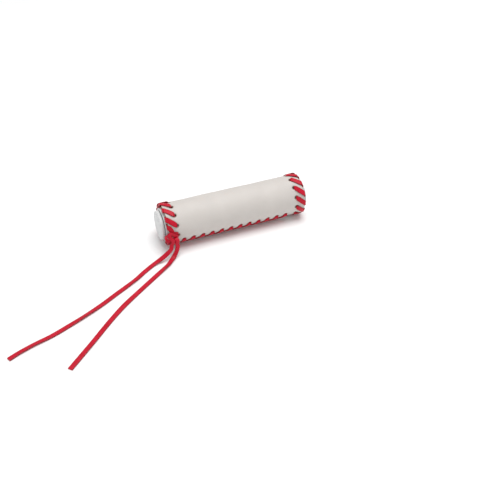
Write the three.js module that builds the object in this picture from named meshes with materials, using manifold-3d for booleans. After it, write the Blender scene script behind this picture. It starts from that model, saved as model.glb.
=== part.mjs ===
// Laced leather bicycle handlebar grip, lying on its side.
// Millimetres, +Z up. X runs along the grip, the closed outboard end at -X.
// The grip is drawn about its own axis and then set down on z = 0.

import * as THREE from 'three';
import { mergeVertices } from 'three/addons/utils/BufferGeometryUtils.js';
import Module from 'manifold-3d';

const wasm = await Module();
wasm.setup();

// ---------------------------------------------------------------- sizes
const FIT_GAP = 0.3; // between pieces that touch

const HANDLEBAR_DIAMETER = 22.2;
const BAR_CLEARANCE = 0.2;
const CORE_WALL = 3.4;
const CORE_PROUD_OUTBOARD = 1.6; // core past the leather at each end
const CORE_PROUD_INBOARD = 3;
const PADDING_THICKNESS = 1.3;

const LEATHER_LENGTH = 126.5;
const LEATHER_THICKNESS = 1.2;
const SEAM_GAP = 0.8;
const SEAM_ANGLE = -51; // degrees from the front side, up positive

const LACE_WIDTH = 4.2;
const LACE_THICKNESS = 1;
const LACE_WIDTH_IN_HOLE = 2.1;
const LACE_LIFT = 0.3; // between the leather and a lace outside it
const LACE_TUCK = 0.4; // between the leather and a lace inside it
const RIM_BULGE = 0.8; // from the leather's edge to the middle of a lace round it

const HOLE_DIAMETER = 3;
const RIM_STITCHES = 12;
const RIM_HOLE_INSET = 7.8;
const RIM_SLANT = 23; // degrees round the grip from a hole to the rim
const SEAM_STITCHES = 12;
const SEAM_PITCH = 8.7;
const FIRST_SEAM_HOLE = 13.5; // from the outboard rim
const SEAM_STITCH_SLANT = 6.3; // along the grip, from hole to hole
const SEAM_HOLE_ANGLE = 20; // degrees from the seam to a hole
const FIRST_STITCH_SLANT = 1.9;
const LACE_END_TUCK = 1; // of the seam lace, inside, past its last hole

const PADDING_CLEAR_OF_RIM_HOLE = 3;
const PADDING_CLEAR_OF_SEAM = 34; // degrees from the seam

const CAP_FLANGE_LAP = 1.8; // over the edge of the bore
const CAP_FLANGE_THICKNESS = 3.2;
const CAP_EDGE_RADIUS = 1.1;
const CAP_SKIRT_LENGTH = 14;
const CAP_SKIRT_WALL = 1.5;
const CAP_RIBS = 6;
const CAP_RIB_HEIGHT = 0.6;
const CAP_RIB_WIDTH = 1.2;
const CAP_RIB_SHORT_OF_SKIRT = 2; // at the skirt's open end
const CAP_RIB_SUNK = 0.5; // into the flange
const CAP_FLOOR_SET_BACK = 1; // of the skirt's hollow into the flange

const KNOT_LENGTH = 8.4;
const KNOT_WIDTH = 8;
const KNOT_HEIGHT = 4.8;
const KNOT_FROM_RIM = 1.8;
const KNOT_ANGLE = -5;

// ------------------------------------------------------- worked-out sizes
const BORE_RADIUS = (HANDLEBAR_DIAMETER + BAR_CLEARANCE) / 2;
const CORE_RADIUS = BORE_RADIUS + CORE_WALL;
const PADDING_INNER = CORE_RADIUS + FIT_GAP;
const PADDING_OUTER = PADDING_INNER + PADDING_THICKNESS;
const LEATHER_INNER = PADDING_OUTER + FIT_GAP;
const LEATHER_OUTER = LEATHER_INNER + LEATHER_THICKNESS;
const LACE_OVER = LEATHER_OUTER + LACE_LIFT + LACE_THICKNESS / 2;
const LACE_UNDER = LEATHER_INNER - LACE_TUCK - LACE_THICKNESS / 2;
const LACE_MIDDLE = (LACE_OVER + LACE_UNDER) / 2;
const LACE_TURN = (LACE_OVER - LACE_UNDER) / 2;
const CAP_OUTER_FACE = -(CORE_PROUD_OUTBOARD + FIT_GAP + CAP_FLANGE_THICKNESS);
const CORE_START = -CORE_PROUD_OUTBOARD;
const CORE_END = LEATHER_LENGTH + CORE_PROUD_INBOARD;
const GRIP_MIDDLE = (CAP_OUTER_FACE + CORE_END) / 2;

// ------------------------------------------------------------- materials
function finish(color, roughness) {
  return new THREE.MeshStandardMaterial({ color, roughness, metalness: 0 });
}

const CREAM_LEATHER = finish(0xe6dfd6, 0.62);
const RED_LACE = finish(0xc8142a, 0.42);
const WHITE_PLASTIC = finish(0xeceeed, 0.45);
const GREY_FOAM = finish(0x8b8a88, 0.9);

// ------------------------------------------------- places on the cylinder
// A place is given by its distance from the outboard leather edge, its angle
// from the front (-Y) towards the top (+Z) in degrees, and its radius.
function place(along, angle, radius) {
  const turn = THREE.MathUtils.degToRad(angle);
  return new THREE.Vector3(along, -radius * Math.cos(turn), radius * Math.sin(turn));
}

function outward(angle) {
  return place(0, angle, 1);
}

function degreesAcross(millimetres) {
  return THREE.MathUtils.radToDeg(millimetres / LACE_MIDDLE);
}

// ---------------------------------------------------------------- solids
function toSolid(geometry) {
  geometry.deleteAttribute('normal');
  geometry.deleteAttribute('uv');
  const merged = mergeVertices(geometry, 1e-4);
  return new wasm.Manifold(new wasm.Mesh({
    numProp: 3,
    vertProperties: new Float32Array(merged.attributes.position.array),
    triVerts: new Uint32Array(merged.index.array),
  }));
}

function toGeometry(solid) {
  const mesh = solid.getMesh();
  const geometry = new THREE.BufferGeometry();
  geometry.setAttribute('position', new THREE.BufferAttribute(mesh.vertProperties, 3));
  geometry.setIndex(new THREE.BufferAttribute(mesh.triVerts, 1));
  geometry.computeVertexNormals();
  return geometry;
}

function piece(name, geometry, material) {
  const mesh = new THREE.Mesh(geometry, material);
  mesh.name = name;
  return mesh;
}

// A ring of sheet with a gap of the given half angle at the seam, along X.
function openSleeve(outer, inner, halfGap, length, segments) {
  const start = THREE.MathUtils.degToRad(SEAM_ANGLE + halfGap);
  const end = THREE.MathUtils.degToRad(SEAM_ANGLE + 360 - halfGap);
  const section = new THREE.Shape();
  section.absarc(0, 0, outer, start, end, false);
  section.absarc(0, 0, inner, end, start, true);
  const geometry = new THREE.ExtrudeGeometry(section, {
    depth: length,
    steps: 1,
    bevelEnabled: false,
    curveSegments: segments,
  });
  // The section's x becomes the front, its y the top, and it runs towards -X.
  const turned = new THREE.Matrix4().makeBasis(
    new THREE.Vector3(0, -1, 0),
    new THREE.Vector3(0, 0, 1),
    new THREE.Vector3(-1, 0, 0),
  );
  return geometry.applyMatrix4(turned);
}

// ----------------------------------------------------------------- laces
// A flat lace: each station has a point, the way that its upper face looks
// and its width as a share of the full width.
class LacePath extends THREE.Curve {
  constructor(stations) {
    super();
    this.stations = stations;
  }

  getPoint(t) {
    const last = this.stations.length - 1;
    const before = Math.min(Math.floor(t * last), last - 1);
    const from = this.stations[before].point;
    return from.clone().lerp(this.stations[before + 1].point, t * last - before);
  }

  getSpacedPoints() {
    return this.stations.map((station) => station.point.clone());
  }

  computeFrenetFrames() {
    const last = this.stations.length - 1;
    const tangents = [];
    const normals = [];
    const binormals = [];
    this.stations.forEach((station, i) => {
      const ahead = this.stations[Math.min(i + 1, last)].point;
      const behind = this.stations[Math.max(i - 1, 0)].point;
      const tangent = ahead.clone().sub(behind).normalize();
      const across = station.face.clone().cross(tangent).normalize();
      tangents.push(tangent);
      binormals.push(tangent.clone().cross(across).normalize());
      normals.push(across.multiplyScalar(station.share));
    });
    return { tangents, normals, binormals };
  }
}

function laceSection() {
  const side = LACE_WIDTH / 2;
  const edge = side - LACE_THICKNESS / 2;
  const face = LACE_THICKNESS / 2;
  return new THREE.Shape([
    new THREE.Vector2(side, 0),
    new THREE.Vector2(edge, face),
    new THREE.Vector2(-edge, face),
    new THREE.Vector2(-side, 0),
    new THREE.Vector2(-edge, -face),
    new THREE.Vector2(edge, -face),
  ]);
}

function laceGeometry(stations) {
  return new THREE.ExtrudeGeometry(laceSection(), {
    steps: stations.length - 1,
    extrudePath: new LacePath(stations),
  });
}

// A lace station on the grip. `roll` is 90 on the outside of the leather and
// -90 on the inside, and passes round the turn between them; `toward` is the
// way that the turn bulges, as a unit vector, and `reach` how far.
function laceStation(along, angle, roll, toward, share = 1, reach = LACE_TURN) {
  const turn = THREE.MathUtils.degToRad(roll);
  const radius = LACE_MIDDLE + LACE_TURN * Math.sin(turn);
  const bulge = reach * Math.cos(turn);
  const point = place(along, angle, radius).addScaledVector(toward, bulge);
  const face = outward(angle).multiplyScalar(Math.sin(turn));
  face.addScaledVector(toward, Math.cos(turn));
  return { point, face, share };
}

// The whip stitches round a rim, drawn for the outboard one: up through a
// hole, slanting over the outside to the rim, round it, and back inside to
// the next hole.
const HOLE_SHARE = LACE_WIDTH_IN_HOLE / LACE_WIDTH;
const UNDER_HOLE_SHARE = 0.8; // of the full width, just inside a hole
const NEAR_HOLE_SHARE = 0.85; // and just outside it
const HOLE_ROLL = 35; // degrees, at each face of the leather
const RIM_STEP = 360 / RIM_STITCHES;

function rimHoleAngles() {
  return Array.from({ length: RIM_STITCHES }, (_, k) => SEAM_ANGLE + (k + 0.5) * RIM_STEP);
}

function rimStations() {
  const inboard = new THREE.Vector3(1, 0, 0);
  const outboard = new THREE.Vector3(-1, 0, 0);
  const turnPlace = RIM_HOLE_INSET - LACE_TURN;
  const rimTwist = RIM_STEP - RIM_SLANT;
  // Over the outside: share of the way left to the rim, share of the slant
  // done, share of the full width.
  const overRows = [[1, 0.04, NEAR_HOLE_SHARE], [0.7, 0.3, 1], [0.35, 0.65, 1]];
  // Round the rim: roll, and share of the twist done.
  const rimRows = [[40, 0.2], [0, 0.4], [-40, 0.55]];
  const twistInside = 0.7;
  const stations = [];
  rimHoleAngles().forEach((angle, k) => {
    if (k === 0) stations.push(laceStation(turnPlace * 0.62, angle, -90, inboard));
    stations.push(laceStation(turnPlace, angle, -90, inboard, UNDER_HOLE_SHARE));
    stations.push(laceStation(turnPlace, angle, -HOLE_ROLL, inboard, HOLE_SHARE));
    stations.push(laceStation(turnPlace, angle, HOLE_ROLL, inboard, HOLE_SHARE));
    overRows.forEach(([wayLeft, slanted, share]) => {
      stations.push(laceStation(turnPlace * wayLeft, angle + RIM_SLANT * slanted, 90, inboard, share));
    });
    const atRim = angle + RIM_SLANT;
    stations.push(laceStation(0, atRim, 90, outboard));
    rimRows.forEach(([roll, twisted]) => {
      stations.push(laceStation(0, atRim + rimTwist * twisted, roll, outboard, 1, RIM_BULGE));
    });
    stations.push(laceStation(0, atRim + rimTwist * twistInside, -90, outboard));
    if (k === RIM_STITCHES - 1) {
      stations.push(laceStation(turnPlace * 0.3, atRim + rimTwist * 0.8, -90, outboard));
    }
  });
  return stations;
}

// The same round the inboard rim: the outboard stitches turned end for end
// about the line through the seam.
function turnedEndForEnd(stations) {
  const line = outward(SEAM_ANGLE);
  const middle = new THREE.Vector3(LEATHER_LENGTH / 2, 0, 0);
  return stations.map(({ point, face, share }) => ({
    point: point.clone().sub(middle).applyAxisAngle(line, Math.PI).add(middle),
    face: face.clone().applyAxisAngle(line, Math.PI),
    share,
  }));
}

// The whip stitches along the seam. Each crosses the outside from a lower
// hole to an upper one and goes back inside to the next lower hole.
function seamHoles() {
  return Array.from({ length: SEAM_STITCHES }, (_, k) => {
    const upper = FIRST_SEAM_HOLE + k * SEAM_PITCH;
    const slant = k === 0 ? FIRST_STITCH_SLANT : SEAM_STITCH_SLANT;
    return { lower: upper - slant, upper };
  });
}

function seamStations() {
  const turnAngle = SEAM_HOLE_ANGLE - degreesAcross(LACE_TURN);
  const low = SEAM_ANGLE - turnAngle;
  const high = SEAM_ANGLE + turnAngle;
  const down = place(0, low - 90, 1);
  const up = place(0, high + 90, 1);
  const leaveHole = 0.04; // shares of a stitch's slant
  const crossing = 0.35;
  const holes = seamHoles();
  const stations = [];
  holes.forEach(({ lower, upper }, k) => {
    const rise = upper - lower;
    const before = k === 0 ? lower : (lower + holes[k - 1].upper) / 2;
    stations.push(laceStation(before, SEAM_ANGLE, -90, down));
    stations.push(laceStation(lower, low, -90, down, UNDER_HOLE_SHARE));
    stations.push(laceStation(lower, low, -HOLE_ROLL, down, HOLE_SHARE));
    stations.push(laceStation(lower, low, HOLE_ROLL, down, HOLE_SHARE));
    stations.push(laceStation(lower + rise * leaveHole, low, 90, down, NEAR_HOLE_SHARE));
    stations.push(laceStation(lower + rise * crossing, SEAM_ANGLE - turnAngle * crossing, 90, down));
    stations.push(laceStation(upper - rise * crossing, SEAM_ANGLE + turnAngle * crossing, 90, up));
    stations.push(laceStation(upper - rise * leaveHole, high, 90, up, NEAR_HOLE_SHARE));
    stations.push(laceStation(upper, high, HOLE_ROLL, up, HOLE_SHARE));
    stations.push(laceStation(upper, high, -HOLE_ROLL, up, HOLE_SHARE));
    stations.push(laceStation(upper, high, -90, up, UNDER_HOLE_SHARE));
    if (k === holes.length - 1) {
      stations.push(laceStation(upper + LACE_END_TUCK, SEAM_ANGLE - turnAngle * 0.2, -90, up));
    }
  });
  return stations;
}

// --------------------------------------------------------------- leather
function holeCutter(along, angle) {
  const cutter = new THREE.CylinderGeometry(HOLE_DIAMETER / 2, HOLE_DIAMETER / 2, LEATHER_THICKNESS * 3, 10);
  const aim = new THREE.Quaternion().setFromUnitVectors(new THREE.Vector3(0, 1, 0), outward(angle));
  const spot = place(along, angle, (LEATHER_OUTER + LEATHER_INNER) / 2);
  cutter.applyMatrix4(new THREE.Matrix4().compose(spot, aim, new THREE.Vector3(1, 1, 1)));
  return toSolid(cutter);
}

function leatherSleeve() {
  const halfGap = THREE.MathUtils.radToDeg(SEAM_GAP / 2 / LEATHER_OUTER);
  const sheet = openSleeve(LEATHER_OUTER, LEATHER_INNER, halfGap, LEATHER_LENGTH, 36);
  sheet.translate(LEATHER_LENGTH, 0, 0);
  let solid = toSolid(sheet);
  rimHoleAngles().forEach((angle) => {
    solid = solid.subtract(holeCutter(RIM_HOLE_INSET, angle));
    solid = solid.subtract(holeCutter(LEATHER_LENGTH - RIM_HOLE_INSET, angle));
  });
  seamHoles().forEach(({ lower, upper }) => {
    solid = solid.subtract(holeCutter(lower, SEAM_ANGLE - SEAM_HOLE_ANGLE));
    solid = solid.subtract(holeCutter(upper, SEAM_ANGLE + SEAM_HOLE_ANGLE));
  });
  return piece('leather_sleeve', toGeometry(solid), CREAM_LEATHER);
}

// ------------------------------------------------------ core and padding
function coreTube() {
  const bevel = CORE_WALL / 6;
  const profile = [
    new THREE.Vector2(BORE_RADIUS, CORE_START),
    new THREE.Vector2(CORE_RADIUS - bevel, CORE_START),
    new THREE.Vector2(CORE_RADIUS, CORE_START + bevel),
    new THREE.Vector2(CORE_RADIUS, CORE_END - bevel),
    new THREE.Vector2(CORE_RADIUS - bevel, CORE_END),
    new THREE.Vector2(BORE_RADIUS, CORE_END),
    new THREE.Vector2(BORE_RADIUS, CORE_START),
  ];
  const geometry = new THREE.LatheGeometry(profile, 48).rotateZ(-Math.PI / 2);
  return piece('core_tube', toGeometry(toSolid(geometry)), WHITE_PLASTIC);
}

function paddingSleeve() {
  const inset = RIM_HOLE_INSET + PADDING_CLEAR_OF_RIM_HOLE;
  const geometry = openSleeve(
    PADDING_OUTER,
    PADDING_INNER,
    PADDING_CLEAR_OF_SEAM,
    LEATHER_LENGTH - 2 * inset,
    20,
  );
  geometry.translate(LEATHER_LENGTH - inset, 0, 0);
  return piece('foam_padding', toGeometry(toSolid(geometry)), GREY_FOAM);
}

// --------------------------------------------------------------- end cap
// The profile runs from the flange's outer face to the skirt's open end.
function endCap() {
  const flange = BORE_RADIUS + CAP_FLANGE_LAP;
  const ribTop = BORE_RADIUS - FIT_GAP;
  const skirtOuter = ribTop - CAP_RIB_HEIGHT;
  const skirtInner = skirtOuter - CAP_SKIRT_WALL;
  const skirtEnd = CAP_FLANGE_THICKNESS + CAP_SKIRT_LENGTH;
  const floor = CAP_FLANGE_THICKNESS - CAP_FLOOR_SET_BACK;
  const profile = [new THREE.Vector2(0, 0)];
  const edgeSteps = 4;
  for (let i = 0; i <= edgeSteps; i += 1) {
    const turn = (i / edgeSteps) * (Math.PI / 2);
    profile.push(new THREE.Vector2(
      flange - CAP_EDGE_RADIUS + CAP_EDGE_RADIUS * Math.sin(turn),
      CAP_EDGE_RADIUS - CAP_EDGE_RADIUS * Math.cos(turn),
    ));
  }
  profile.push(
    new THREE.Vector2(flange, CAP_FLANGE_THICKNESS),
    new THREE.Vector2(skirtOuter, CAP_FLANGE_THICKNESS),
    new THREE.Vector2(skirtOuter, skirtEnd),
    new THREE.Vector2(skirtInner, skirtEnd),
    new THREE.Vector2(skirtInner, floor),
    new THREE.Vector2(0, floor),
  );
  let solid = toSolid(new THREE.LatheGeometry(profile, 48));
  const ribLength = CAP_SKIRT_LENGTH - CAP_RIB_SHORT_OF_SKIRT;
  for (let i = 0; i < CAP_RIBS; i += 1) {
    const depth = CAP_RIB_HEIGHT + CAP_SKIRT_WALL / 2;
    const rib = new THREE.BoxGeometry(depth, ribLength, CAP_RIB_WIDTH);
    rib.translate(ribTop - depth / 2, CAP_FLANGE_THICKNESS + ribLength / 2 - CAP_RIB_SUNK, 0);
    rib.rotateY((i / CAP_RIBS) * Math.PI * 2);
    solid = solid.add(toSolid(rib));
  }
  const geometry = toGeometry(solid).rotateZ(-Math.PI / 2);
  geometry.translate(CAP_OUTER_FACE, 0, 0);
  return piece('end_cap', geometry, WHITE_PLASTIC);
}

// ------------------------------------------------------------------ knot
function knotMiddle() {
  const radius = LACE_OVER + LACE_THICKNESS / 2 + FIT_GAP + KNOT_HEIGHT / 2;
  return place(KNOT_FROM_RIM, KNOT_ANGLE, radius);
}

function laceKnot() {
  const geometry = new THREE.SphereGeometry(0.5, 16, 10);
  const aim = new THREE.Quaternion().setFromUnitVectors(new THREE.Vector3(0, 0, 1), outward(KNOT_ANGLE));
  const size = new THREE.Vector3(KNOT_LENGTH, KNOT_WIDTH, KNOT_HEIGHT);
  geometry.applyMatrix4(new THREE.Matrix4().compose(knotMiddle(), aim, size));
  return piece('lace_knot', toGeometry(toSolid(geometry)), RED_LACE);
}

// -------------------------------------------------------------- the grip
const grip = new THREE.Group();
const outboardStitches = rimStations();
grip.add(
  coreTube(),
  paddingSleeve(),
  leatherSleeve(),
  endCap(),
  piece('outboard_rim_lace', toGeometry(toSolid(laceGeometry(outboardStitches))), RED_LACE),
  piece('inboard_rim_lace', toGeometry(toSolid(laceGeometry(turnedEndForEnd(outboardStitches)))), RED_LACE),
  piece('seam_lace', toGeometry(toSolid(laceGeometry(seamStations()))), RED_LACE),
  laceKnot(),
);

// It lies on the lowest stitches of its two rims.
const lowest = new THREE.Box3();
grip.children.filter((part) => part.name.endsWith('rim_lace')).forEach((part) => lowest.expandByObject(part));
grip.position.set(-GRIP_MIDDLE, 0, -lowest.min.z);

// ------------------------------------------------------------ lace tails
// Offsets along and across from the middle of the knot, and heights above the
// floor as drawn for a knot at TAIL_DRAWN_FROM.
const TAIL_START = knotMiddle().add(grip.position);
const TAIL_DRAWN_FROM = 17.2;
const TAIL_LOWEST = LACE_THICKNESS / 2 + 0.05;

const LONG_TAIL = [
  [-1.4, -0.4, 12.6], [-2.4, -1.6, 10.8], [-3.8, -2.8, 8.7], [-10.9, -4.2, 4.4], [-19.1, -5.6, 1.2],
  [-29.7, -12, 0.6], [-39.9, -19.5, 0.6], [-57.2, -29.5, 0.6], [-72.7, -38.6, 0.6], [-87.3, -46, 0.6],
  [-100.6, -51.8, 0.6], [-114.2, -57.4, 0.6], [-127.7, -61.4, 0.6], [-139.5, -65.7, 0.6],
  [-147.2, -69.3, 0.6],
];
const SHORT_TAIL = [
  [3.1, -0.6, 12.9], [3.2, -1.3, 9.3], [1.4, -2.3, 5.5], [-1.6, -4.2, 2.3], [-5.9, -8.2, 1.05],
  [-9.7, -11.8, 0.7], [-21, -19.8, 0.6], [-32.5, -28.2, 0.6], [-45.2, -37.6, 0.6], [-57.6, -47.4, 0.6],
  [-67.6, -56.3, 0.6], [-77.5, -66, 0.6], [-87, -75.6, 0.6], [-97.3, -85.5, 0.6], [-107.6, -95.4, 0.6],
];
const TAIL_STEPS = 44;
const TAIL_TURN = 0.055; // share of the length in which it turns to lie flat

function laceTail(name, offsets) {
  const rise = TAIL_START.z / TAIL_DRAWN_FROM;
  const points = offsets.map(([along, side, height]) => new THREE.Vector3(
    TAIL_START.x + along,
    TAIL_START.y + side,
    Math.max(height * rise, TAIL_LOWEST),
  ));
  const route = new THREE.CatmullRomCurve3(points, false, 'centripetal');
  const stations = [];
  for (let i = 0; i <= TAIL_STEPS; i += 1) {
    const t = i / TAIL_STEPS;
    const point = route.getPointAt(t);
    const tangent = route.getTangentAt(t);
    const lying = Math.min(1, t / TAIL_TURN);
    const face = new THREE.Vector3(0, -1, 0).lerp(new THREE.Vector3(0, 0, 1), lying);
    face.addScaledVector(tangent, -face.dot(tangent)).normalize();
    stations.push({ point, face, share: 1 });
  }
  return piece(name, toGeometry(toSolid(laceGeometry(stations))), RED_LACE);
}

const model = new THREE.Group();
model.add(grip, laceTail('long_lace_tail', LONG_TAIL), laceTail('short_lace_tail', SHORT_TAIL));

export default model;
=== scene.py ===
import math

import bpy
import numpy as np
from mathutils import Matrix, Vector


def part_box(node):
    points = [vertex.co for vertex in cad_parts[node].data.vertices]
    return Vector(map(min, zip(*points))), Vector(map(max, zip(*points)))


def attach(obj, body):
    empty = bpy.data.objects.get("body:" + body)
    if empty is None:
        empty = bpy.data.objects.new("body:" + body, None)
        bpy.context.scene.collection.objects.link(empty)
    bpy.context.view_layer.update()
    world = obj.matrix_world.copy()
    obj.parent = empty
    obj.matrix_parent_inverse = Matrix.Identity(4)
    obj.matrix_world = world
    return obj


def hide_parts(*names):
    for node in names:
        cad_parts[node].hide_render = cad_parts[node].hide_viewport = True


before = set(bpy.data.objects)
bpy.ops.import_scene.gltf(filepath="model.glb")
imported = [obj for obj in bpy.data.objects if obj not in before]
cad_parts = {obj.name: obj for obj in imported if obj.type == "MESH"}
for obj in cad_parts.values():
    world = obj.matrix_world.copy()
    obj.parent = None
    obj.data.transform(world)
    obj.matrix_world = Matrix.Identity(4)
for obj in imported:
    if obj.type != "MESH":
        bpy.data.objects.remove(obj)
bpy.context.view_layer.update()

# ---------------------------------------------------------------- sizes
# Metres. X runs along the grip, closed outboard end at -X; +Z is up.
# Angles round the grip are in degrees from its front (-Y) towards its top.
CORE_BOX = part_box("core_tube")
LEATHER_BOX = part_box("leather_sleeve")
CAP_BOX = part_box("end_cap")
KNOT_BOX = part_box("lace_knot")
OUTBOARD_RIM = LEATHER_BOX[0][0]
INBOARD_RIM = LEATHER_BOX[1][0]
LEATHER_LENGTH = INBOARD_RIM - OUTBOARD_RIM
LEATHER_OUTER = (LEATHER_BOX[1][1] - LEATHER_BOX[0][1]) / 2
AXIS_HEIGHT = (CORE_BOX[0][2] + CORE_BOX[1][2]) / 2
CORE_RADIUS = (CORE_BOX[1][1] - CORE_BOX[0][1]) / 2
BORE_RADIUS = 0.0112
LEATHER_THICKNESS = 0.0012
LEATHER_INNER = LEATHER_OUTER - LEATHER_THICKNESS
SEAM_ANGLE = -51.0
SEAM_GAP = 0.0008
MM = 0.001
DEGREES_PER_MM = math.degrees(MM / LEATHER_OUTER)

LACE_WIDTH = 0.0042
LACE_THICKNESS = 0.00105
LACE_LIFT = 0.00005  # between the leather and a lace outside it
LACE_TUCK = 0.0001  # between the leather and a lace inside it
LACE_OVER = LEATHER_OUTER + LACE_LIFT + LACE_THICKNESS / 2
LACE_UNDER = LEATHER_INNER - LACE_TUCK - LACE_THICKNESS / 2
LACE_MIDDLE = (LACE_OVER + LACE_UNDER) / 2
LACE_TURN = (LACE_OVER - LACE_UNDER) / 2
HOLE_RADIUS = 0.0014

RIM_STITCHES = 12
RIM_STEP = 360.0 / RIM_STITCHES
RIM_HOLE_INSET = 0.0078
RIM_SLANT = 23.0
KNOTTED_STITCH = 1
KNOTTED_DRAG = 7.0  # degrees further round the rim
SEAM_STITCHES = 12
SEAM_PITCH = 0.0087
FIRST_SEAM_HOLE = 0.0135
SEAM_STITCH_SLANT = 0.0063
FIRST_STITCH_SLANT = 0.0019
SEAM_HOLE_ANGLE = 20.0

CORE_EDGE_ROUNDING = 0.00045
CAP_FLANGE_THICKNESS = 0.0032
CAP_FACE_ROUNDING = 0.0013
CAP_SKIRT_CLEARANCE = 0.0009
CAP_SKIRT_WALL = 0.0015
CAP_FLOOR_SET_BACK = 0.001
FOAM_CLEARANCE = 0.0003
FOAM_OPENING = 34.0  # degrees from the seam
FOAM_EDGE_ROUNDING = 0.0006


# ------------------------------------------------------ camera and light
def aim(thing, target):
    """Turns a camera or lamp to look at a point, its own top kept upwards."""
    way = Vector(target) - thing.location
    thing.rotation_euler = way.to_track_quat("-Z", "Y").to_euler()


def make_camera():
    data = bpy.data.cameras.new("view")
    data.lens = 50.4
    data.sensor_width = 36
    data.clip_start = 0.01
    camera = bpy.data.objects.new("view", data)
    camera.location = (-0.1756, -0.4763, 0.3811)
    aim(camera, (0.0018, -0.0408, 0.0014))
    bpy.context.scene.collection.objects.link(camera)
    bpy.context.scene.camera = camera


def soft_lamp(name, place, target, size, power, colour=(1, 1, 1)):
    data = bpy.data.lights.new(name, "AREA")
    data.shape = "DISK"
    data.size = size
    data.energy = power
    data.color = colour
    lamp = bpy.data.objects.new(name, data)
    lamp.location = place
    aim(lamp, target)
    bpy.context.scene.collection.objects.link(lamp)


def make_light():
    soft_lamp("top_softbox", (0.20, -0.02, 1.5), (0, 0, 0), 1.2, 16.5)
    soft_lamp("left_fill", (-1.2, -0.5, 0.8), (0, 0, 0), 0.8, 1.5)
    world = bpy.data.worlds.new("studio")
    world.use_nodes = True
    sky = world.node_tree.nodes["Background"]
    sky.inputs["Color"].default_value = (1, 1, 1, 1)
    sky.inputs["Strength"].default_value = 0.60
    bpy.context.scene.world = world
    bpy.context.scene.view_settings.view_transform = "Standard"


make_camera()
make_light()


# -------------------------------------------------------- mesh from grids
def add_piece(name, points, faces, material, uv=None, marks=None):
    """A mesh object from vertices and faces, smooth, at the origin.

    faces is one array of corner numbers, or a list of them; uv holds one pair
    for each vertex, and marks named numbers for each.
    """
    groups = faces if isinstance(faces, list) else [faces]
    corners = np.concatenate([group.ravel() for group in groups]).astype(np.int32)
    sizes = np.concatenate([np.full(len(group), group.shape[1]) for group in groups])
    starts = np.concatenate([[0], np.cumsum(sizes)[:-1]]).astype(np.int32)
    mesh = bpy.data.meshes.new(name)
    mesh.vertices.add(len(points))
    mesh.vertices.foreach_set("co", np.asarray(points, np.float32).ravel())
    mesh.loops.add(len(corners))
    mesh.loops.foreach_set("vertex_index", corners)
    mesh.polygons.add(len(sizes))
    mesh.polygons.foreach_set("loop_start", starts)
    mesh.polygons.foreach_set("use_smooth", np.ones(len(sizes), bool))
    mesh.update(calc_edges=True)
    if uv is not None:
        layer = mesh.uv_layers.new(name="along_and_across")
        layer.uv.foreach_set("vector", uv[corners].astype(np.float32).ravel())
    for mark, values in (marks or {}).items():
        attribute = mesh.attributes.new(mark, "FLOAT", "POINT")
        attribute.data.foreach_set("value", np.asarray(values, np.float32))
    mesh.materials.append(material)
    piece = bpy.data.objects.new(name, mesh)
    bpy.context.scene.collection.objects.link(piece)
    return piece


def grid_quads(rows, columns, close_rows=False, close_columns=False):
    """Quads of a rows by columns grid, wrapped round where it closes."""
    number = np.arange(rows * columns).reshape(rows, columns)
    if close_rows:
        number = np.vstack([number, number[:1]])
    if close_columns:
        number = np.hstack([number, number[:, :1]])
    corners = [number[:-1, :-1], number[1:, :-1], number[1:, 1:], number[:-1, 1:]]
    return np.stack(corners, -1).reshape(-1, 4)


def place(along, angle, radius):
    """Points at a distance from the outboard rim, an angle and a radius."""
    turn = np.radians(angle)
    along, turn, radius = np.broadcast_arrays(along, turn, radius)
    return np.stack([
        OUTBOARD_RIM + along,
        -radius * np.cos(turn),
        AXIS_HEIGHT + radius * np.sin(turn),
    ], -1)


def outward(angle):
    """Unit vectors straight out of the grip at angles round it."""
    turn = np.radians(np.asarray(angle, float))
    return np.stack([np.zeros_like(turn), -np.cos(turn), np.sin(turn)], -1)


def unit(vectors):
    """The vectors divided by their lengths."""
    length = np.linalg.norm(vectors, axis=-1, keepdims=True)
    return vectors / np.maximum(length, 1e-12)


def ease(points, per_span):
    """Points on Catmull-Rom spans through the rows given, per_span to each.

    A span from b to c with neighbours a and d is half of
    2b + (c-a)t + (2a-5b+4c-d)t^2 + (3b-a-3c+d)t^3.
    """
    points = np.asarray(points, float)
    first = 2 * points[0] - points[1]
    last = 2 * points[-1] - points[-2]
    padded = np.vstack([first, points, last])
    a, b, c, d = padded[:-3], padded[1:-2], padded[2:-1], padded[3:]
    t = np.linspace(0, 1, per_span, endpoint=False)[None, :, None]
    a, b, c, d = (row[:, None, :] for row in (a, b, c, d))
    cubic = 2 * b + (c - a) * t + (2 * a - 5 * b + 4 * c - d) * t**2
    cubic = (cubic + (3 * b - a - 3 * c + d) * t**3) / 2
    return np.vstack([cubic.reshape(-1, points.shape[1]), points[-1:]])


# ------------------------------------------------------------- materials
HIDE_SHADE = (0.565, 0.530, 0.500)
HIDE_LIGHT = (0.600, 0.563, 0.531)
HIDE_PORE = (0.41, 0.37, 0.32)
# painted shade: round each hole and in the grooves under the stitches
HIDE_PAINTED_SHADE = (0.20, 0.14, 0.10)
# raw cut edge and lining: real tan, darkened further with painted shade
HIDE_CUT_EDGE_AND_SHADE = (0.36, 0.26, 0.17)
LACE_SHADE = (0.47, 0.005, 0.019)
LACE_LIGHT = (0.56, 0.010, 0.034)
LACE_LINE = (0.36, 0.003, 0.012)
# painted shade along each lace's sides
LACE_SIDE_SHADE = (0.20, 0.002, 0.007)
PLASTIC_SHADE = (0.60, 0.61, 0.61)
PLASTIC_LIGHT = (0.64, 0.65, 0.65)
FOAM_SHADE = (0.10, 0.095, 0.09)
FOAM_LIGHT = (0.24, 0.23, 0.22)
FLOOR_SHADE = (0.93, 0.93, 0.93)
FLOOR_LIGHT = (0.94, 0.94, 0.94)


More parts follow.
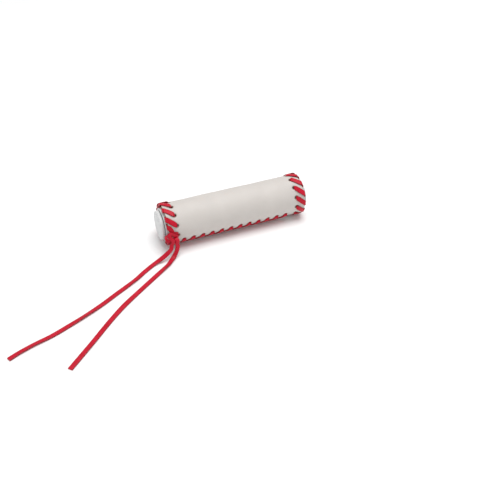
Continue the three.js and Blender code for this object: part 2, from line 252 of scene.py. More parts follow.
def new_material(name):
    material = bpy.data.materials.new(name)
    material.use_nodes = True
    nodes = material.node_tree.nodes
    nodes.clear()
    output = nodes.new("ShaderNodeOutputMaterial")
    shader = nodes.new("ShaderNodeBsdfPrincipled")
    material.node_tree.links.new(shader.outputs["BSDF"], output.inputs["Surface"])
    return material, shader


class Wiring:
    """Short ways to add nodes to one material."""

    def __init__(self, material):
        self.nodes = material.node_tree.nodes
        self.links = material.node_tree.links

    def add(self, kind, **settings):
        node = self.nodes.new(kind)
        for key, value in settings.items():
            setattr(node, key, value)
        return node

    def join(self, source, target):
        self.links.new(source, target)

    def object_place(self):
        return self.add("ShaderNodeTexCoord").outputs["Object"]

    def stretched(self, vector, scale):
        node = self.add("ShaderNodeMapping")
        node.inputs["Scale"].default_value = scale
        self.join(vector, node.inputs["Vector"])
        return node.outputs["Vector"]

    def noise(self, vector, scale, detail=3.0, roughness=0.5):
        node = self.add("ShaderNodeTexNoise")
        node.inputs["Scale"].default_value = scale
        node.inputs["Detail"].default_value = detail
        node.inputs["Roughness"].default_value = roughness
        self.join(vector, node.inputs["Vector"])
        return node.outputs["Fac"]

    def cells(self, vector, scale):
        node = self.add("ShaderNodeTexVoronoi", feature="F1")
        node.inputs["Scale"].default_value = scale
        self.join(vector, node.inputs["Vector"])
        return node.outputs["Distance"]

    def span(self, value, low, high, to_low=0.0, to_high=1.0):
        node = self.add("ShaderNodeMapRange")
        ends = {"From Min": low, "From Max": high, "To Min": to_low, "To Max": to_high}
        for key, number in ends.items():
            node.inputs[key].default_value = number
        self.join(value, node.inputs["Value"])
        return node.outputs["Result"]

    def mark(self, name):
        return self.add("ShaderNodeAttribute", attribute_name=name).outputs["Fac"]

    def sum(self, first, second, share=1.0):
        node = self.add("ShaderNodeMath", operation="MULTIPLY_ADD")
        self.join(second, node.inputs[0])
        node.inputs[1].default_value = share
        self.join(first, node.inputs[2])
        return node.outputs[0]

    def blend(self, share, first, second):
        """Mixes two colours, each a tuple or another node's colour."""
        node = self.add("ShaderNodeMix", data_type="RGBA")
        self.join(share, node.inputs["Factor"])
        ends = [s for s in node.inputs if s.type == "RGBA"]
        for socket, colour in zip(ends, (first, second)):
            if isinstance(colour, tuple):
                socket.default_value = (*colour, 1)
            else:
                self.join(colour, socket)
        return next(s for s in node.outputs if s.type == "RGBA")

    def bump(self, height, strength, distance):
        node = self.add("ShaderNodeBump")
        node.inputs["Strength"].default_value = strength
        node.inputs["Distance"].default_value = distance
        self.join(height, node.inputs["Height"])
        return node.outputs["Normal"]


def cream_leather():
    """Smooth cream hide: fine pores, faint cloudy mottling, painted shade round holes and under
    stitches, raw cut edges darkened with painted shade.
    """
    material, shader = new_material("cream_leather")
    w = Wiring(material)
    spot = w.object_place()
    cloud = w.noise(spot, 55, 4, 0.55)
    pores = w.cells(spot, 1500)
    creases = w.noise(w.stretched(spot, (1.0, 1.6, 1.6)), 420, 5, 0.62)
    hide = w.blend(w.span(cloud, 0.35, 0.68), HIDE_SHADE, HIDE_LIGHT)
    pitted = w.blend(w.span(pores, 0.0, 0.32, 0.16, 0.0), hide, HIDE_PORE)
    # Painted shade: the hide darkens round each hole and in the grooves under the stitches.
    painted_shade = w.blend(w.span(w.mark("painted_shade"), 0.15, 0.8, 0, 0.7), pitted, HIDE_PAINTED_SHADE)
    # Cut edges and lining: their raw tan, darkened further with painted shade.
    colour = w.blend(w.mark("cut"), painted_shade, HIDE_CUT_EDGE_AND_SHADE)
    w.join(colour, shader.inputs["Base Color"])
    w.join(w.span(creases, 0.3, 0.7, 0.50, 0.64), shader.inputs["Roughness"])
    grain = w.sum(w.span(creases, 0.3, 0.7), w.span(pores, 0.0, 0.5), 0.6)
    w.join(w.bump(grain, 0.35, 0.00006), shader.inputs["Normal"])
    shader.inputs["Specular IOR Level"].default_value = 0.42
    shader.inputs["Sheen Weight"].default_value = 0.06
    shader.inputs["Sheen Roughness"].default_value = 0.5
    shader.inputs["Subsurface Weight"].default_value = 0.03
    shader.inputs["Subsurface Radius"].default_value = (0.6, 0.4, 0.3)
    shader.inputs["Subsurface Scale"].default_value = 0.001
    return material


def red_lace():
    """Dyed flat lace: glossy crowned face, painted shade along its sides, fine drawn lines."""
    material, shader = new_material("red_lace")
    w = Wiring(material)
    spot = w.object_place()
    along = w.add("ShaderNodeUVMap", uv_map="along_and_across").outputs["UV"]
    cloud = w.noise(spot, 160, 3, 0.5)
    lines = w.noise(w.stretched(along, (120, 2600, 1)), 1.0, 4, 0.6)
    grain = w.cells(spot, 2600)
    face = w.blend(w.span(cloud, 0.3, 0.7), LACE_SHADE, LACE_LIGHT)
    lined = w.blend(w.span(lines, 0.42, 0.7, 0, 0.28), face, LACE_LINE)
    # Painted shade: each lace darkens towards its sides, outlining it.
    colour = w.blend(w.span(w.mark("side"), 0.1, 0.9, 0, 0.9), lined, LACE_SIDE_SHADE)
    w.join(colour, shader.inputs["Base Color"])
    w.join(w.span(cloud, 0.3, 0.7, 0.34, 0.46), shader.inputs["Roughness"])
    height = w.sum(w.span(lines, 0.3, 0.7), w.span(grain, 0.0, 0.5), 0.5)
    w.join(w.bump(height, 0.3, 0.00004), shader.inputs["Normal"])
    shader.inputs["Specular IOR Level"].default_value = 0.16
    shader.inputs["Coat Weight"].default_value = 0.05
    shader.inputs["Coat Roughness"].default_value = 0.35
    return material


def white_plastic():
    """Satin moulded plastic with a fine spark-eroded texture."""
    material, shader = new_material("white_plastic")
    w = Wiring(material)
    spot = w.object_place()
    cloud = w.noise(spot, 90, 3, 0.5)
    texture = w.noise(spot, 2600, 3, 0.6)
    colour = w.blend(w.span(cloud, 0.35, 0.65), PLASTIC_SHADE, PLASTIC_LIGHT)
    w.join(colour, shader.inputs["Base Color"])
    w.join(w.span(texture, 0.3, 0.7, 0.36, 0.48), shader.inputs["Roughness"])
    w.join(w.bump(texture, 0.18, 0.00003), shader.inputs["Normal"])
    shader.inputs["Subsurface Weight"].default_value = 0.08
    shader.inputs["Subsurface Radius"].default_value = (0.8, 0.8, 0.8)
    shader.inputs["Subsurface Scale"].default_value = 0.0015
    return material


def grey_foam():
    """Closed-cell foam: small round cells, matt."""
    material, shader = new_material("grey_foam")
    w = Wiring(material)
    spot = w.object_place()
    cells = w.cells(spot, 1700)
    colour = w.blend(w.span(cells, 0.0, 0.5), FOAM_SHADE, FOAM_LIGHT)
    w.join(colour, shader.inputs["Base Color"])
    w.join(w.bump(w.span(cells, 0, 0.5), 0.6, 0.0002), shader.inputs["Normal"])
    shader.inputs["Roughness"].default_value = 0.92
    return material


def pale_floor():
    """Plain matt studio floor, with the faintest mottling."""
    material, shader = new_material("pale_floor")
    w = Wiring(material)
    fine = w.noise(w.object_place(), 30, 2, 0.5)
    colour = w.blend(w.span(fine, 0.3, 0.7), FLOOR_SHADE, FLOOR_LIGHT)
    w.join(colour, shader.inputs["Base Color"])
    shader.inputs["Roughness"].default_value = 0.9
    shader.inputs["Specular IOR Level"].default_value = 0.1
    return material


LEATHER = cream_leather()
LACE = red_lace()
PLASTIC = white_plastic()
FOAM = grey_foam()


# ----------------------------------------------------------------- floor
def make_floor():
    """One large square that the lowest stitches rest on."""
    reach = 3.0
    square = [(-1, -1, 0), (1, -1, 0), (1, 1, 0), (-1, 1, 0)]
    corners = np.array(square) * reach
    floor = add_piece("studio_floor", corners, np.array([[0, 1, 2, 3]]), pale_floor())


make_floor()


# ----------------------------------------------------------------- laces
SIDES = 20
LACE_CROWN = 3.0  # power of the section's superellipse
BEVEL_STEPS = np.array([[0.00005], [0.00002]])  # out from each end of a lace
BEVEL_SHARES = np.array([0.86, 0.97])  # of the section, at those steps
SIDE_SHARPNESS = 6  # power of the cosine that marks a lace's sides


def strip(points, faces, share):
    """One flat lace carried along points, closed at both ends.

    At each point the section is a superellipse: across is half the width
    times cos^(2/c), up is half the thickness times sin^(2/c), with their
    signs kept, where c is LACE_CROWN. `faces` look out of the upper face, and
    `share` scales the width. Each end is cut square with a tight bevel: two
    smaller rings just past it and a flat cap. Gives vertices, quads, UVs and
    the share of each vertex that is the lace's side.
    """
    tangents = unit(np.gradient(points, axis=0))
    points = np.vstack([
        points[:1] - tangents[:1] * BEVEL_STEPS,
        points,
        points[-1:] + tangents[-1:] * BEVEL_STEPS[::-1],
    ])
    faces, tangents = (np.vstack([a[:1], a[:1], a, a[-1:], a[-1:]]) for a in (faces, tangents))
    share = np.concatenate([share[:1], share[:1], share, share[-1:], share[-1:]])
    draw = np.ones(len(points))
    draw[:2] = BEVEL_SHARES
    draw[-2:] = BEVEL_SHARES[::-1]
    across = unit(np.cross(faces, tangents))
    up = unit(np.cross(tangents, across))
    turn = np.linspace(0, 2 * math.pi, SIDES, endpoint=False)
    power = 2.0 / LACE_CROWN
    flat = np.sign(np.cos(turn)) * np.abs(np.cos(turn)) ** power * LACE_WIDTH / 2
    tall = np.sign(np.sin(turn)) * np.abs(np.sin(turn)) ** power * LACE_THICKNESS / 2
    wide = (flat[None, :] * (share * draw)[:, None])[..., None]
    high = (tall[None, :] * draw[:, None])[..., None]
    skin = points[:, None, :] + across[:, None, :] * wide + up[:, None, :] * high
    steps = np.linalg.norm(np.diff(points, axis=0), axis=1)
    run = np.concatenate([[0], np.cumsum(steps)])
    uv = np.stack(np.broadcast_arrays(run[:, None], flat[None, :]), -1).reshape(-1, 2)
    # Where each lace's sides are, for its painted shade.
    side = np.broadcast_to(np.abs(np.cos(turn)) ** SIDE_SHARPNESS, (len(points), SIDES)).ravel()
    last = (len(points) - 1) * SIDES
    quads = np.vstack([
        grid_quads(len(points), SIDES, close_columns=True)[:, ::-1],
        cap_quads(SIDES)[:, ::-1],
        cap_quads(SIDES) + last,
    ])
    return skin.reshape(-1, 3), quads, uv, side


def cap_quads(sides):
    """Quads that close one ring, joining its near and far halves."""
    i = np.arange(sides // 2 - 1)
    far = sides - 1 - i
    return np.stack([i, i + 1, far - 1, far], -1)


def add_laces(name, strips):
    """One piece from one or more strips."""
    points, quads, uv, side = zip(*strips)
    starts = np.cumsum([0] + [len(p) for p in points[:-1]])
    quads = np.vstack([q + start for q, start in zip(quads, starts)])
    marks = {"side": np.concatenate(side)}
    return add_piece(name, np.vstack(points), quads, LACE, np.vstack(uv), marks)


INBOARD = np.array([1.0, 0.0, 0.0])
OUTBOARD = -INBOARD
IN_HOLE = 0.66  # share of its width that a lace keeps in a hole


def station(along, angle, level, roll, toward, share=1.0):
    """One row of a lace: its point, the way of its upper face, its width share.

    level is 1 outside the leather, 0 halfway through it and -1 inside. roll is
    90 where the upper face looks out of the grip, 0 where it looks `toward`
    and -90 where it looks in.
    """
    turn = math.radians(roll)
    point = place(along, angle, LACE_MIDDLE + LACE_TURN * level)
    face = outward(angle) * math.sin(turn) + np.asarray(toward) * math.cos(turn)
    return np.concatenate([point, face, [share]])


def through_hole(along, angle, back, toward):
    """Rows of a lace coming up through a hole and bending back over its edge.

    back is the step of 1 mm, in distance along and angle round, from the hole
    towards the side that the lace lies on.
    """
    bends = (
        (2.3, -1.0, -90, 0.9),
        (0.8, -0.88, -52, 0.75),
        (0.42, -0.30, -15, IN_HOLE),
        (0.45, 0.40, 22, 0.8),
        (0.95, 0.88, 60, 0.96),
        (2.0, 1.0, 88, 1.0),
    )
    return [
        station(along + back[0] * steps, angle + back[1] * steps, level, roll, toward, share)
        for steps, level, roll, share in bends
    ]


def round_rim(angle, advance, wide):
    """Rows of a lace tight round the outboard rim, from outside to inside."""
    bends = (
        (0.95, 0.99, 88, -0.4),
        (0.15, 0.93, 66, -0.1),
        (-0.45, 0.55, 32, 0.1),
        (-0.62, 0.0, 0, 0.3),
        (-0.45, -0.55, -32, 0.5),
        (0.15, -0.93, -66, 0.7),
        (1.4, -1.0, -90, 0.9),
    )
    return [
        station(along * MM, angle + advance * share, level, roll, OUTBOARD, wide)
        for along, level, roll, share in bends
    ]


def rim_hole_angles():
    """The rim's holes: half a step past the seam, then one step apart."""
    return SEAM_ANGLE + (np.arange(RIM_STITCHES) + 0.5) * RIM_STEP


def rim_stations(seed, knotted=None):
    """Stitches round the outboard rim, by rows for a lace.

    Each comes up through its hole, slants over the outside to the rim, turns
    round it and goes back inside to the next hole. Hand-laced stitches vary
    by a degree or two. The knotted one is dragged further round the rim.
    """
    vary = np.random.default_rng(seed)
    rows = []
    for k, angle in enumerate(rim_hole_angles()):
        lean = vary.uniform(-1.4, 1.4)
        wide = vary.uniform(0.97, 1.05)
        slant = RIM_SLANT + lean
        # Shares of the way left to the rim and of the slant done, and level.
        middle = ((0.56, 0.45, 1.01), (0.34, 0.67, 1.01))
        if k == knotted:
            slant = RIM_SLANT + KNOTTED_DRAG
            middle = ((0.40, 0.36, 1.0), (0.26, 0.68, 1.0))
        back = (-MM, slant * MM / RIM_HOLE_INSET)
        rows += through_hole(RIM_HOLE_INSET, angle, back, INBOARD)
        for inset, share, level in middle:
            spot = RIM_HOLE_INSET * inset, angle + slant * share
            rows.append(station(*spot, level, 90, OUTBOARD, wide))
        rows += round_rim(angle + slant, RIM_STEP - RIM_SLANT, wide)
    return np.array(rows)


def end_for_end(rows):
    """The same stitches turned half round about the line through the seam."""
    line = outward(SEAM_ANGLE)
    middle = place(LEATHER_LENGTH / 2, 0, 0)
    turned = rows.copy()
    turned[:, :3] = middle + half_turn(rows[:, :3] - middle, line)
    turned[:, 3:6] = half_turn(rows[:, 3:6], line)
    return turned


def half_turn(vectors, line):
    """Half a turn about a unit line: twice the part along it, less the vector."""
    return 2 * (vectors @ line)[:, None] * line - vectors


def seam_holes():
    """Each seam stitch's lower and upper hole, as distances from the outboard
    rim: upper ones a pitch apart, lower ones less that stitch's slant."""
    upper = FIRST_SEAM_HOLE + np.arange(SEAM_STITCHES) * SEAM_PITCH
    slant = np.full(SEAM_STITCHES, SEAM_STITCH_SLANT)
    slant[0] = FIRST_STITCH_SLANT
    return upper - slant, upper


def seam_stations(seed):
    """Stitches along the seam: up through a lower hole, over the seam, down
    through an upper hole, and back inside to the next lower hole."""
    vary = np.random.default_rng(seed)
    low = SEAM_ANGLE - SEAM_HOLE_ANGLE
    high = SEAM_ANGLE + SEAM_HOLE_ANGLE
    down = outward(low - 90)
    up = outward(high + 90)
    rows = []
    for lower, upper in zip(*seam_holes()):
        rise = upper - lower
        wide = vary.uniform(0.97, 1.06)
        lean = 0.06 * rise
        rows += through_hole(lower, low, (lean, DEGREES_PER_MM), down)
        for share, turn, way in ((0.36, -3.0, down), (0.64, 3.0, up)):
            rows.append(station(lower + rise * share, SEAM_ANGLE + turn, 1.03, 90, way, wide))
        rows += through_hole(upper, high, (-lean, -DEGREES_PER_MM), up)[::-1]
    return np.array(rows)


def lace_from_rows(rows, per_span=5):
    """A strip through the rows of stations, eased between them."""
    smooth = ease(rows, per_span)
    return strip(smooth[:, :3], unit(smooth[:, 3:6]), smooth[:, 6])


outboard_rows = rim_stations(11, KNOTTED_STITCH)
rim_laces = [
    add_laces("laced_outboard_rim", [lace_from_rows(outboard_rows)]),
    add_laces("laced_inboard_rim", [lace_from_rows(end_for_end(rim_stations(12)))]),
]
seam_lace = add_laces("laced_seam", [lace_from_rows(seam_stations(13))])


# ----------------------------------------------------------- leather sleeve
def hole_places():
    """Each punched hole's distance from the outboard rim and angle."""
    rim = rim_hole_angles()
    lower, upper = seam_holes()
    along = np.concatenate([
        np.full(RIM_STITCHES, RIM_HOLE_INSET),
        np.full(RIM_STITCHES, LEATHER_LENGTH - RIM_HOLE_INSET),
        lower,
        upper,
    ])
    angle = np.concatenate([
        rim,
        2 * SEAM_ANGLE - rim,
        np.full(SEAM_STITCHES, SEAM_ANGLE - SEAM_HOLE_ANGLE),
        np.full(SEAM_STITCHES, SEAM_ANGLE + SEAM_HOLE_ANGLE),
    ])
    across = np.mod(angle - SEAM_ANGLE, 360) * math.radians(1) * LEATHER_OUTER
    return along, across


def line_dip(along, across, start, end, width):
    """A groove between two points of the flat sheet: a Gaussian of the
    distance to the line between them."""
    start, end = np.asarray(start), np.asarray(end)
    way = end - start
    t = ((along - start[0]) * way[0] + (across - start[1]) * way[1]) / (way @ way)
    t = np.clip(t, 0, 1)
    gap = np.hypot(along - start[0] - t * way[0], across - start[1] - t * way[1])
    return bell(gap, width)


CELL = 0.0006
FAR = 1.0  # a gap larger than any on the sheet
NEAR_HOLE = 0.003  # from a hole's centre, where its edge is rounded
HOLE_DIP = 0.00022
HOLE_DIP_WIDTH = 0.0011
STITCH_DENT = 0.00014
RIM_DENT_WIDTH = 0.0016
SEAM_DENT_WIDTH = 0.0017
SCALLOP = 0.00022
SCALLOP_ACROSS = 0.0024
SCALLOP_ALONG = 0.0035
WAVE = 0.00007
RIPPLE = 0.00005
SEAM_PUCKER = 0.00016
RIM_PUCKER = 0.00014
PUCKER_WIDTH = 0.004
EDGE_ROUNDING = 0.00028
EDGE_ROUNDING_WIDTH = 0.0004
LINING_ROUNDING = 0.8  # share of the outer face's rounding
CUT_WIDTH = 0.0003
# Painted shade round each hole and in the grooves under the stitches:
PAINTED_SHADE_WIDTH = 0.0006
PAINTED_SHADE_AT_HOLES = 0.7
PAINTED_SHADE_UNDER_STITCHES = 0.2


def bell(gap, width):
    """A Gaussian: e to the minus square of the gap over the width."""
    return np.exp(-(gap / width) ** 2)


def punched(along, across, hole_along, hole_across):
    """Each point's gap to the nearest hole's centre, and that centre."""
    nearest = np.full(along.shape, FAR)
    centre_along = np.zeros(along.shape)
    centre_across = np.zeros(along.shape)
    for a, c in zip(hole_along, hole_across):
        gap = np.hypot(along - a, across - c)
        closer = gap < nearest
        nearest = np.where(closer, gap, nearest)
        centre_along = np.where(closer, a, centre_along)
        centre_across = np.where(closer, c, centre_across)
    return nearest, centre_along, centre_across


def stitch_marks(along, across, girth, hole_along, hole_across):
    """Where the stitches press, from 0 to 1: grooves under them, as line dips
    from each hole, and scallops at the rims, as a bell across where a stitch
    goes over the edge times a bell along from that rim."""
    slant = math.radians(RIM_SLANT) * LEATHER_OUTER
    dents = np.zeros(along.shape)
    scallop = np.zeros(along.shape)
    for a, c in zip(hole_along[:2 * RIM_STITCHES], hole_across[:2 * RIM_STITCHES]):
        edge = 0.0 if a < LEATHER_LENGTH / 2 else LEATHER_LENGTH
        way = slant if edge == 0.0 else -slant
        for wrap in (-girth, 0, girth):
            hole, end = (a, c + wrap), (edge, c + way + wrap)
            dents = np.maximum(dents, line_dip(along, across, hole, end, RIM_DENT_WIDTH))
            at_edge = bell(across - end[1], SCALLOP_ACROSS)
            near_rim = bell(np.abs(along - edge), SCALLOP_ALONG)
            scallop = np.maximum(scallop, at_edge * near_rim)
    reach = math.radians(SEAM_HOLE_ANGLE) * LEATHER_OUTER
    for a, b in zip(*seam_holes()):
        halfway = (a + b) / 2
        for start, hole in (((halfway, 0), (b, reach)), ((halfway, girth), (a, girth - reach))):
            dents = np.maximum(dents, line_dip(along, across, start, hole, SEAM_DENT_WIDTH))
    return dents, scallop


def padding_waves(along, turn):
    """Slow unevenness from the padding: a long wave along, swayed by the turn
    round the grip and fading three times round it, plus a slanting ripple."""
    waves = WAVE * np.sin(along * 95 + 1.3 * np.sin(turn * 2)) * np.cos(turn * 3 + 0.4)
    waves += RIPPLE * np.sin(along * 210 + turn * 4)
    return waves


def both_faces(kept, count):
    """Quads of the outer face, of the inner one, whose vertices are numbered
    `count` higher, and of a wall along every border edge between them."""
    edges = kept[:, [0, 1, 1, 2, 2, 3, 3, 0]].reshape(-1, 2)
    pairs = np.sort(edges, axis=1)
    numbers = pairs[:, 0] * count + pairs[:, 1]
    _, index, times = np.unique(numbers, return_index=True, return_counts=True)
    rim = edges[index[times == 1]]
    wall = np.stack([rim[:, 1], rim[:, 0], rim[:, 0] + count, rim[:, 1] + count], -1)
    return np.vstack([kept, kept[:, ::-1] + count, wall])


def make_leather():
    """The rolled hide, worked out on the flat sheet and then rolled.

    On the flat, along runs from rim to rim and across from one seam edge to
    the other. The outer face's radius is the sleeve's, less a dip round each
    hole where the lace draws it in, less a shallow groove under each stitch,
    plus slow waves from the padding, with every cut edge rounded over. Cells
    inside a hole are left out and its border is set on a circle. The inner face
    is the outer one less the thickness, and a wall joins them along every border.
    A mark paints shade round each hole and along the grooves under the stitches.
    """
    girth = 2 * math.pi * LEATHER_OUTER
    half_gap = SEAM_GAP / 2
    rows = int(LEATHER_LENGTH / CELL)
    columns = int(girth / CELL)
    along, across = np.meshgrid(
        np.linspace(0, LEATHER_LENGTH, rows),
        np.linspace(half_gap, girth - half_gap, columns),
        indexing="ij",
    )
    hole_along, hole_across = hole_places()
    middle_along = (along[:-1, :-1] + along[1:, 1:]) / 2
    middle_across = (across[:-1, :-1] + across[1:, 1:]) / 2
    nearest, centre_along, centre_across = punched(along, across, hole_along, hole_across)
    cell_gap = punched(middle_along, middle_across, hole_along, hole_across)[0]
    keep = (cell_gap > HOLE_RADIUS).ravel()
    quads = grid_quads(rows, columns)
    used = np.zeros(along.size, int)
    dropped = np.zeros(along.size, int)
    used[quads[keep].ravel()] = 1
    dropped[quads[~keep].ravel()] = 1
    border = (used & dropped).reshape(along.shape).astype(bool)
    pull = np.where(border, HOLE_RADIUS / np.maximum(nearest, 1e-6), 1.0)
    along = np.where(border, centre_along + (along - centre_along) * pull, along)
    across = np.where(border, centre_across + (across - centre_across) * pull, across)

    dents, scallop = stitch_marks(along, across, girth, hole_along, hole_across)
    ring_gap = np.maximum(nearest - HOLE_RADIUS, 0)
    rim_edge = np.minimum(along, LEATHER_LENGTH - along)
    seam_edge = np.minimum(across - half_gap, girth - half_gap - across)
    edge_gap = np.minimum(rim_edge, seam_edge)
    edge_gap = np.minimum(edge_gap, np.where(nearest < NEAR_HOLE, ring_gap, FAR))
    dip = HOLE_DIP * bell(ring_gap, HOLE_DIP_WIDTH)
    waves = padding_waves(along, across / girth * 2 * math.pi)
    pucker = SEAM_PUCKER * bell(seam_edge, PUCKER_WIDTH) * (1 - dents)
    pucker += RIM_PUCKER * bell(rim_edge, PUCKER_WIDTH) * (1 - dents)
    rounding = EDGE_ROUNDING * bell(np.maximum(edge_gap, 0), EDGE_ROUNDING_WIDTH)
    outer = LEATHER_OUTER - dip - STITCH_DENT * dents + waves + pucker - SCALLOP * scallop
    inner = outer - LEATHER_THICKNESS + rounding * LINING_ROUNDING
    outer = outer - rounding
    tuck = SCALLOP * scallop * np.where(along < LEATHER_LENGTH / 2, 1, -1)

    angle = SEAM_ANGLE + np.degrees(across / LEATHER_OUTER)
    skin = place(along + tuck, angle, outer).reshape(-1, 3)
    lining = place(along + tuck, angle, inner).reshape(-1, 3)
    faces = both_faces(quads[keep], along.size)
    # Cut edges and the lining, whose raw tan is darkened further with painted shade.
    cut = np.concatenate([bell(edge_gap.ravel(), CUT_WIDTH), np.ones(along.size)])
    # Painted shade: strongest at each hole's edge, fainter along the stitch grooves.
    painted_shade = bell(ring_gap, PAINTED_SHADE_WIDTH) * PAINTED_SHADE_AT_HOLES + PAINTED_SHADE_UNDER_STITCHES * dents
    painted_shade = painted_shade.ravel()
    live, renumbered = np.unique(faces, return_inverse=True)
    marks = {"cut": cut[live], "painted_shade": np.tile(painted_shade, 2)[live]}
    points = np.vstack([skin, lining])[live]
    flat = np.stack([along.ravel(), across.ravel()], -1)
    uv = np.vstack([flat, flat])[live]
    faces = renumbered.reshape(faces.shape)
    return add_piece("leather_cover", points, faces, LEATHER, uv, marks)


leather = make_leather()


# --------------------------------------------------------- turned pieces
def turned(name, profile, material, segments=160):
    """A profile of (x, radius) pairs carried round the grip's axis.

    Ends of the profile that lie on the axis become one shared point each,
    closed with a fan; a profile that returns to its start closes on itself.
    """
    profile = np.asarray(profile, float)
    on_axis = profile[0, 1] == 0 and profile[-1, 1] == 0
    rings = profile[1:-1] if on_axis else profile[:-1]
    angles = np.linspace(0, 360, segments, endpoint=False)
    points = place(rings[:, :1] - OUTBOARD_RIM, angles[None, :], rings[:, 1:]).reshape(-1, 3)
    quads = grid_quads(len(rings), segments, close_rows=not on_axis, close_columns=True)
    if not on_axis:
        return add_piece(name, points, quads, material)
    poles = place(profile[[0, -1], 0] - OUTBOARD_RIM, 0, 0)
    first, last = len(points), len(points) + 1
    ring = np.arange(segments)
    after = np.roll(ring, -1)
    end = len(points) - segments
    fans = np.vstack([
        np.stack([np.full(segments, first), ring, after], -1),
        np.stack([np.full(segments, last), end + after, end + ring], -1),
    ])
    return add_piece(name, np.vstack([points, poles]), [quads, fans], material)


def round_corners(corners, radius, steps=6):
    """A closed outline with each corner replaced by a curve that leaves its
    sides `radius` before the corner: a quadratic with the corner as its
    middle control point."""
    corners = np.asarray(corners, float)
    before = unit(np.roll(corners, 1, axis=0) - corners)
    after = unit(np.roll(corners, -1, axis=0) - corners)
    radius = np.broadcast_to(np.asarray(radius, float), len(corners))[:, None, None]
    t = np.linspace(0, 1, steps)[None, :, None]
    a = corners[:, None] + before[:, None] * radius
    b = corners[:, None] + after[:, None] * radius
    curve = a * (1 - t) ** 2 + 2 * corners[:, None] * t * (1 - t) + b * t**2
    outline = curve.reshape(-1, 2)
    return np.vstack([outline, outline[:1]])


def make_core():
    """The tube: its wall's section, with softened corners, carried round."""
    start, end = CORE_BOX[0][0], CORE_BOX[1][0]
    corners = [(start, BORE_RADIUS), (start, CORE_RADIUS), (end, CORE_RADIUS), (end, BORE_RADIUS)]
    return turned("moulded_core", round_corners(corners, CORE_EDGE_ROUNDING), PLASTIC)


def make_cap():
    """The end plug: a flange with a soft edge and a hollow skirt, one skin.

    Its outline runs from the middle of the face, over a quarter circle at the
    flange's front edge, to the middle of the floor inside the skirt. The other
    corners are points at steps from the sharp corner, along and in radius.
    """
    face = CAP_BOX[0][0]
    back = face + CAP_FLANGE_THICKNESS
    end = CAP_BOX[1][0]
    flange = (CAP_BOX[1][1] - CAP_BOX[0][1]) / 2
    skirt = BORE_RADIUS - CAP_SKIRT_CLEARANCE
    hollow = skirt - CAP_SKIRT_WALL
    floor = back - CAP_FLOOR_SET_BACK
    outline = [(face, 0.0)]
    soft = CAP_FACE_ROUNDING
    for turn in np.radians(np.linspace(0, 90, 9)):
        radius = flange - soft + soft * math.sin(turn)
        outline.append((face + soft - soft * math.cos(turn), radius))
    corners = (
        (back, flange, ((-0.0009, 0), (-0.0004, -0.0004), (0, -0.0011))),
        (back, skirt, ((0, 0),)),
        (end, skirt, ((-0.0006, 0), (0, -0.0004))),
        (end, hollow, ((0, 0.0002), (-0.0003, 0))),
        (floor, hollow, ((0.0006, 0), (0, -0.0006))),
    )
    for along, radius, steps in corners:
        outline += [(along + step, radius + rise) for step, rise in steps]
    outline.append((floor, 0.0))
    return turned("end_plug", outline, PLASTIC)


cap = make_cap()
core = make_core()


def make_padding():
    """A rolled foam sheet, open at the seam, with softened edges: its section
    is carried round from one side of the seam to the other."""
    low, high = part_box("foam_padding")
    outer = (high[1] - low[1]) / 2
    inner = CORE_RADIUS + FOAM_CLEARANCE
    corners = [(low[0], inner), (low[0], outer), (high[0], outer), (high[0], inner)]
    outline = round_corners(corners, FOAM_EDGE_ROUNDING)[:-1]
    angles = np.linspace(SEAM_ANGLE + FOAM_OPENING, SEAM_ANGLE + 360 - FOAM_OPENING, 120)
    points = place(outline[:, :1] - OUTBOARD_RIM, angles[None, :], outline[:, 1:])
    count = len(outline)
    quads = grid_quads(count, len(angles), close_rows=True)
    ring = np.arange(count) * len(angles)
    i = np.arange(count // 2 - 1)
    ends = np.stack([ring[i], ring[i + 1], ring[count - 2 - i], ring[count - 1 - i]], -1)
    quads = np.vstack([quads, ends[:, ::-1], ends + len(angles) - 1])
    return add_piece("foam_wrap", points.reshape(-1, 3), quads, FOAM)


padding = make_padding()


# ---------------------------------------------------- lace tails and knot
TAIL_START = np.array([(KNOT_BOX[0][i] + KNOT_BOX[1][i]) / 2 for i in range(3)])
LONG_TAIL = [
    (-1.4, -0.4, 12.6), (-2.4, -1.6, 10.8), (-3.8, -2.8, 8.7), (-10.9, -4.2, 4.4),
    (-19.1, -5.6, 1.2), (-29.7, -12, 0.6), (-39.9, -19.5, 0.6), (-57.2, -29.5, 0.6), (-72.7, -38.6, 0.6),
    (-87.3, -46, 0.6), (-100.6, -51.8, 0.6), (-114.2, -57.4, 0.6), (-127.7, -61.4, 0.6),
    (-139.5, -65.7, 0.6), (-147.2, -69.3, 0.6),
]
SHORT_TAIL = [
    (3.1, -0.6, 12.9), (3.2, -1.3, 9.3), (1.4, -2.3, 5.5), (-1.6, -4.2, 2.3), (-5.9, -8.2, 1.05),
    (-9.7, -11.8, 0.7), (-21, -19.8, 0.6), (-32.5, -28.2, 0.6), (-45.2, -37.6, 0.6),
    (-57.6, -47.4, 0.6), (-67.6, -56.3, 0.6), (-77.5, -66, 0.6), (-87, -75.6, 0.6),
    (-97.3, -85.5, 0.6), (-107.6, -95.4, 0.6),
]
TAIL_LANDS = 0.13  # share of the length by which a tail lies flat
TAIL_WIDENS = 0.15  # and by which it has spread to its full width
KNOTTED_SHARE = 0.86  # of the full width, drawn tight in the knot


def tail_route(offsets):
    """Offsets in mm from the floor right under the knot, as places in metres."""
    offsets = np.array(offsets) * MM
    return offsets + TAIL_START * (1, 1, 0)


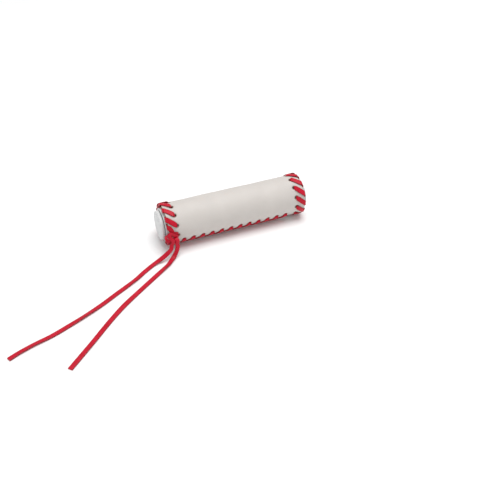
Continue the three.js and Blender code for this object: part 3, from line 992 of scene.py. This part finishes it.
def make_tail(name, offsets, leans):
    """A lace end: hanging from the knot with its face to the front, turning
    over to lie flat, and leaning on one edge in places.

    A lean is a Gaussian (middle and spread as shares of the length, degrees);
    the lace is lifted by half its width times the sine, so that its lower
    edge stays on the floor.
    """
    route = tail_route(offsets)
    smooth = ease(route, 16)
    tangents = unit(np.gradient(smooth, axis=0))
    steps = np.linalg.norm(np.diff(smooth, axis=0), axis=1)
    run = np.concatenate([[0], np.cumsum(steps)])
    share = run / run[-1]
    lying = np.clip(share / TAIL_LANDS, 0, 1)[:, None]
    faces = np.array([0, -1, 0]) * (1 - lying) + np.array([0, 0, 1]) * lying
    faces = unit(faces - (faces * tangents).sum(1, keepdims=True) * tangents)
    lean = sum(degrees * bell(share - middle, spread) for middle, spread, degrees in leans)
    lean = np.radians(lean)[:, None]
    faces = faces * np.cos(lean) + np.cross(tangents, faces) * np.sin(lean)
    smooth = smooth.copy()
    smooth[:, 2] += LACE_WIDTH / 2 * np.abs(np.sin(lean[:, 0]))
    wide = KNOTTED_SHARE + (1 - KNOTTED_SHARE) * np.clip(share / TAIL_WIDENS, 0, 1)
    piece = add_laces(name, [strip(smooth, faces, wide)])
    return piece, route, float(run[-1]), np.concatenate([smooth[0], faces[0], [KNOTTED_SHARE]])


long_tail, long_route, long_length, long_join = make_tail(
    "long_tail", LONG_TAIL, [(0.30, 0.05, 12), (0.60, 0.08, 16), (0.88, 0.10, 12)])
short_tail, short_route, short_length, short_join = make_tail(
    "short_tail", SHORT_TAIL, [(0.17, 0.05, 16), (0.52, 0.06, -6), (0.84, 0.06, 6)])


def strand(rows, joins=None):
    """A knot's strand by rows of distance along in mm, angle, height over the
    leather in mm, roll and width share; its face turns with roll from the way
    that angles grow to straight out. It may run on into a tail's first row."""
    made = []
    for along, angle, height, roll, share in rows:
        turn = math.radians(roll)
        face = outward(angle) * math.sin(turn) + outward(angle + 90) * math.cos(turn)
        point = place(along * MM, angle, LEATHER_OUTER + height * MM)
        made.append(np.concatenate([point, face, [share * KNOTTED_SHARE]]))
    if joins is not None:
        made.append(joins)
    return lace_from_rows(np.array(made), 8)


def make_knot():
    """The strands of the knot that ties off the outboard lace.

    The band comes up through a rim hole, wraps over the rest and runs on into
    the long tail. The loop comes from inside the rim and dives under the band.
    The hook comes out over the band's lower end and runs on into the short
    tail.
    """
    band = [
        (7.9, -5.9, -1.0, 90, 0.55), (7.75, -6.2, 0.3, 90, 0.6), (6.35, -4.4, 1.5, 90, 0.85),
        (4.55, -0.2, 2.1, 90, 0.95), (2.45, 5.4, 2.6, 90, 0.95), (0.65, 9.2, 3.0, 90, 0.95),
        (-0.55, 9.0, 3.4, 90, 0.95), (-0.95, 5.6, 3.7, 90, 0.95), (-0.35, 1.2, 4.0, 90, 0.95),
        (0.95, -3.6, 4.4, 90, 1.0), (1.65, -8.4, 4.8, 90, 1.0), (1.35, -12.6, 5.1, 90, 1.0),
    ]
    loop = [
        (0.0, -1.5, -2.1, -75, 0.75), (-1.9, -2.2, -1.4, -30, 0.7), (-3.0, -3.6, 0.0, 10, 0.7),
        (-3.4, -5.6, 1.2, 32, 0.7), (-2.9, -8.2, 2.2, 55, 0.75), (-1.6, -10.8, 3.0, 75, 0.85),
        (0.5, -12.2, 3.3, 90, 1.0), (2.7, -11.2, 2.7, 90, 1.0), (4.0, -7.5, 1.6, 90, 0.9),
    ]
    hook = [
        (4.35, -10.0, 1.2, 20, 0.9), (4.6, -7.2, 2.0, 20, 1.0), (4.8, -5.2, 3.4, 35, 1.0),
        (5.1, -6.0, 4.8, 65, 1.0), (5.35, -9.0, 5.5, 85, 1.0), (5.1, -12.2, 5.5, 90, 1.0),
    ]
    strands = [strand(band, long_join), strand(loop), strand(hook, short_join)]
    return add_laces("laced_knot", strands)


knot = make_knot()


# ------------------------------------------------------------------ riding
for piece in (*rim_laces, seam_lace, knot, leather, core, padding, long_tail, short_tail):
    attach(piece, "grip")
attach(cap, "end_cap")
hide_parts("outboard_rim_lace")
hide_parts("inboard_rim_lace")
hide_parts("seam_lace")
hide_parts("lace_knot")
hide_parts("leather_sleeve")
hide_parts("core_tube")
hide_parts("end_cap")
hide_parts("foam_padding")
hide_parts("long_lace_tail")
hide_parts("short_lace_tail")
